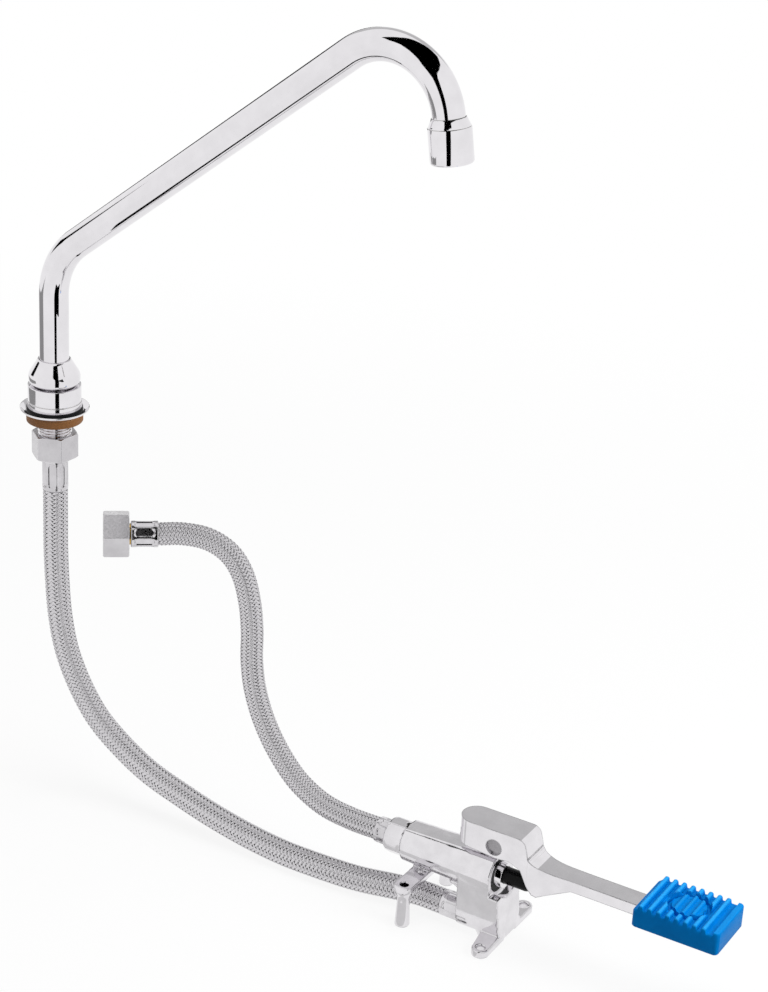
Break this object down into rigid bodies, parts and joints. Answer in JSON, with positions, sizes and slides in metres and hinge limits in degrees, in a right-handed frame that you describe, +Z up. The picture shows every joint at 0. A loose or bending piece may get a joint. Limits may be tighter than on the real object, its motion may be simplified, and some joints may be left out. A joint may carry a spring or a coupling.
{
  "type": "foot pedal faucet",
  "caption": "Deck-mounted swivel spout fed through braided hoses by a floor valve that opens while its blue foot pedal is pressed.",
  "frame": {"origin": "where the shank's axis meets the deck, at the escutcheon's underside", "axes": "+Z up along the shank, +X towards the outlet and the pedal, +Y to the left of someone looking along +X"},
  "size_m": [0.4924, 0.0829, 0.5225],
  "materials": {
    "chrome": "polished",
    "nickel": "satin",
    "braid": "woven wire",
    "spring_steel": "drawn wire",
    "brass": "turned",
    "black_rubber": "matte",
    "black_plastic": "gloss",
    "white_plastic": "matte",
    "fibre": "matte",
    "blue_rubber": "satin"
  },
  "bodies": {
    "base": {"slip_ring": "white_plastic", "spout_cap_nut": "chrome", "base_body": "chrome", "deck_seal": "black_rubber", "escutcheon": "chrome", "clamp_washer": "fibre", "outlet_hose_nut": "nickel", "outlet_hose_gasket": "black_rubber", "outlet_hose_tail": "brass", "outlet_hose_ferrule": "nickel", "outlet_hose": "braid", "outlet_valve_ferrule": "nickel", "outlet_valve_tail": "brass", "supply_gasket": "black_rubber", "supply_tail": "brass", "supply_ferrule": "nickel", "supply_hose": "braid", "inlet_valve_ferrule": "nickel", "inlet_valve_tail": "brass", "valve_body": "chrome", "valve_seat": "brass", "stem_o_ring": "black_rubber", "stem_gland": "chrome", "gland_seal": "black_rubber", "return_spring": "spring_steel"},
    "spout": {"spout_tube": "chrome", "outlet_collar": "chrome", "aerator_housing": "chrome", "aerator_insert": "white_plastic", "aerator_seal": "black_rubber", "spout_tail": "brass", "spout_o_rings": "black_rubber"},
    "lever": {"pedal_lever": "chrome", "pivot_pin": "chrome", "pedal_pad": "blue_rubber"},
    "stem": {"valve_stem": "brass", "stem_head": "black_plastic", "valve_disc": "black_rubber"},
    "supply_union": {"supply_nut": "nickel"}
  },
  "joints": [
    {"name": "spout_swivel", "type": "hinge", "parent": "base", "child": "spout", "pos_m": [0, 0, 0.0185], "axis": [0, 0, 1], "continuous": true},
    {"name": "supply_nut_spin", "type": "hinge", "parent": "base", "child": "supply_union", "pos_m": [0.06676, -0.03968, -0.049], "axis": [0.8, 0.6, 0], "continuous": true},
    {"name": "pedal_press", "type": "hinge", "parent": "base", "child": "lever", "pos_m": [0.326, 0, -0.1877], "axis": [0, 1, 0], "range_deg": [0, 12], "stiffness_Nm_per_rad": 4, "springref_deg": -20.05},
    {"name": "stem_push", "type": "slide", "parent": "base", "child": "stem", "axis": [-1, 0, 0], "range_m": [0, 0.0058], "deforming": ["return_spring"]}
  ],
  "couplings": [
    {"joint": "stem_push", "follows": "pedal_press", "m_per_rad": 0.0272}
  ]
}
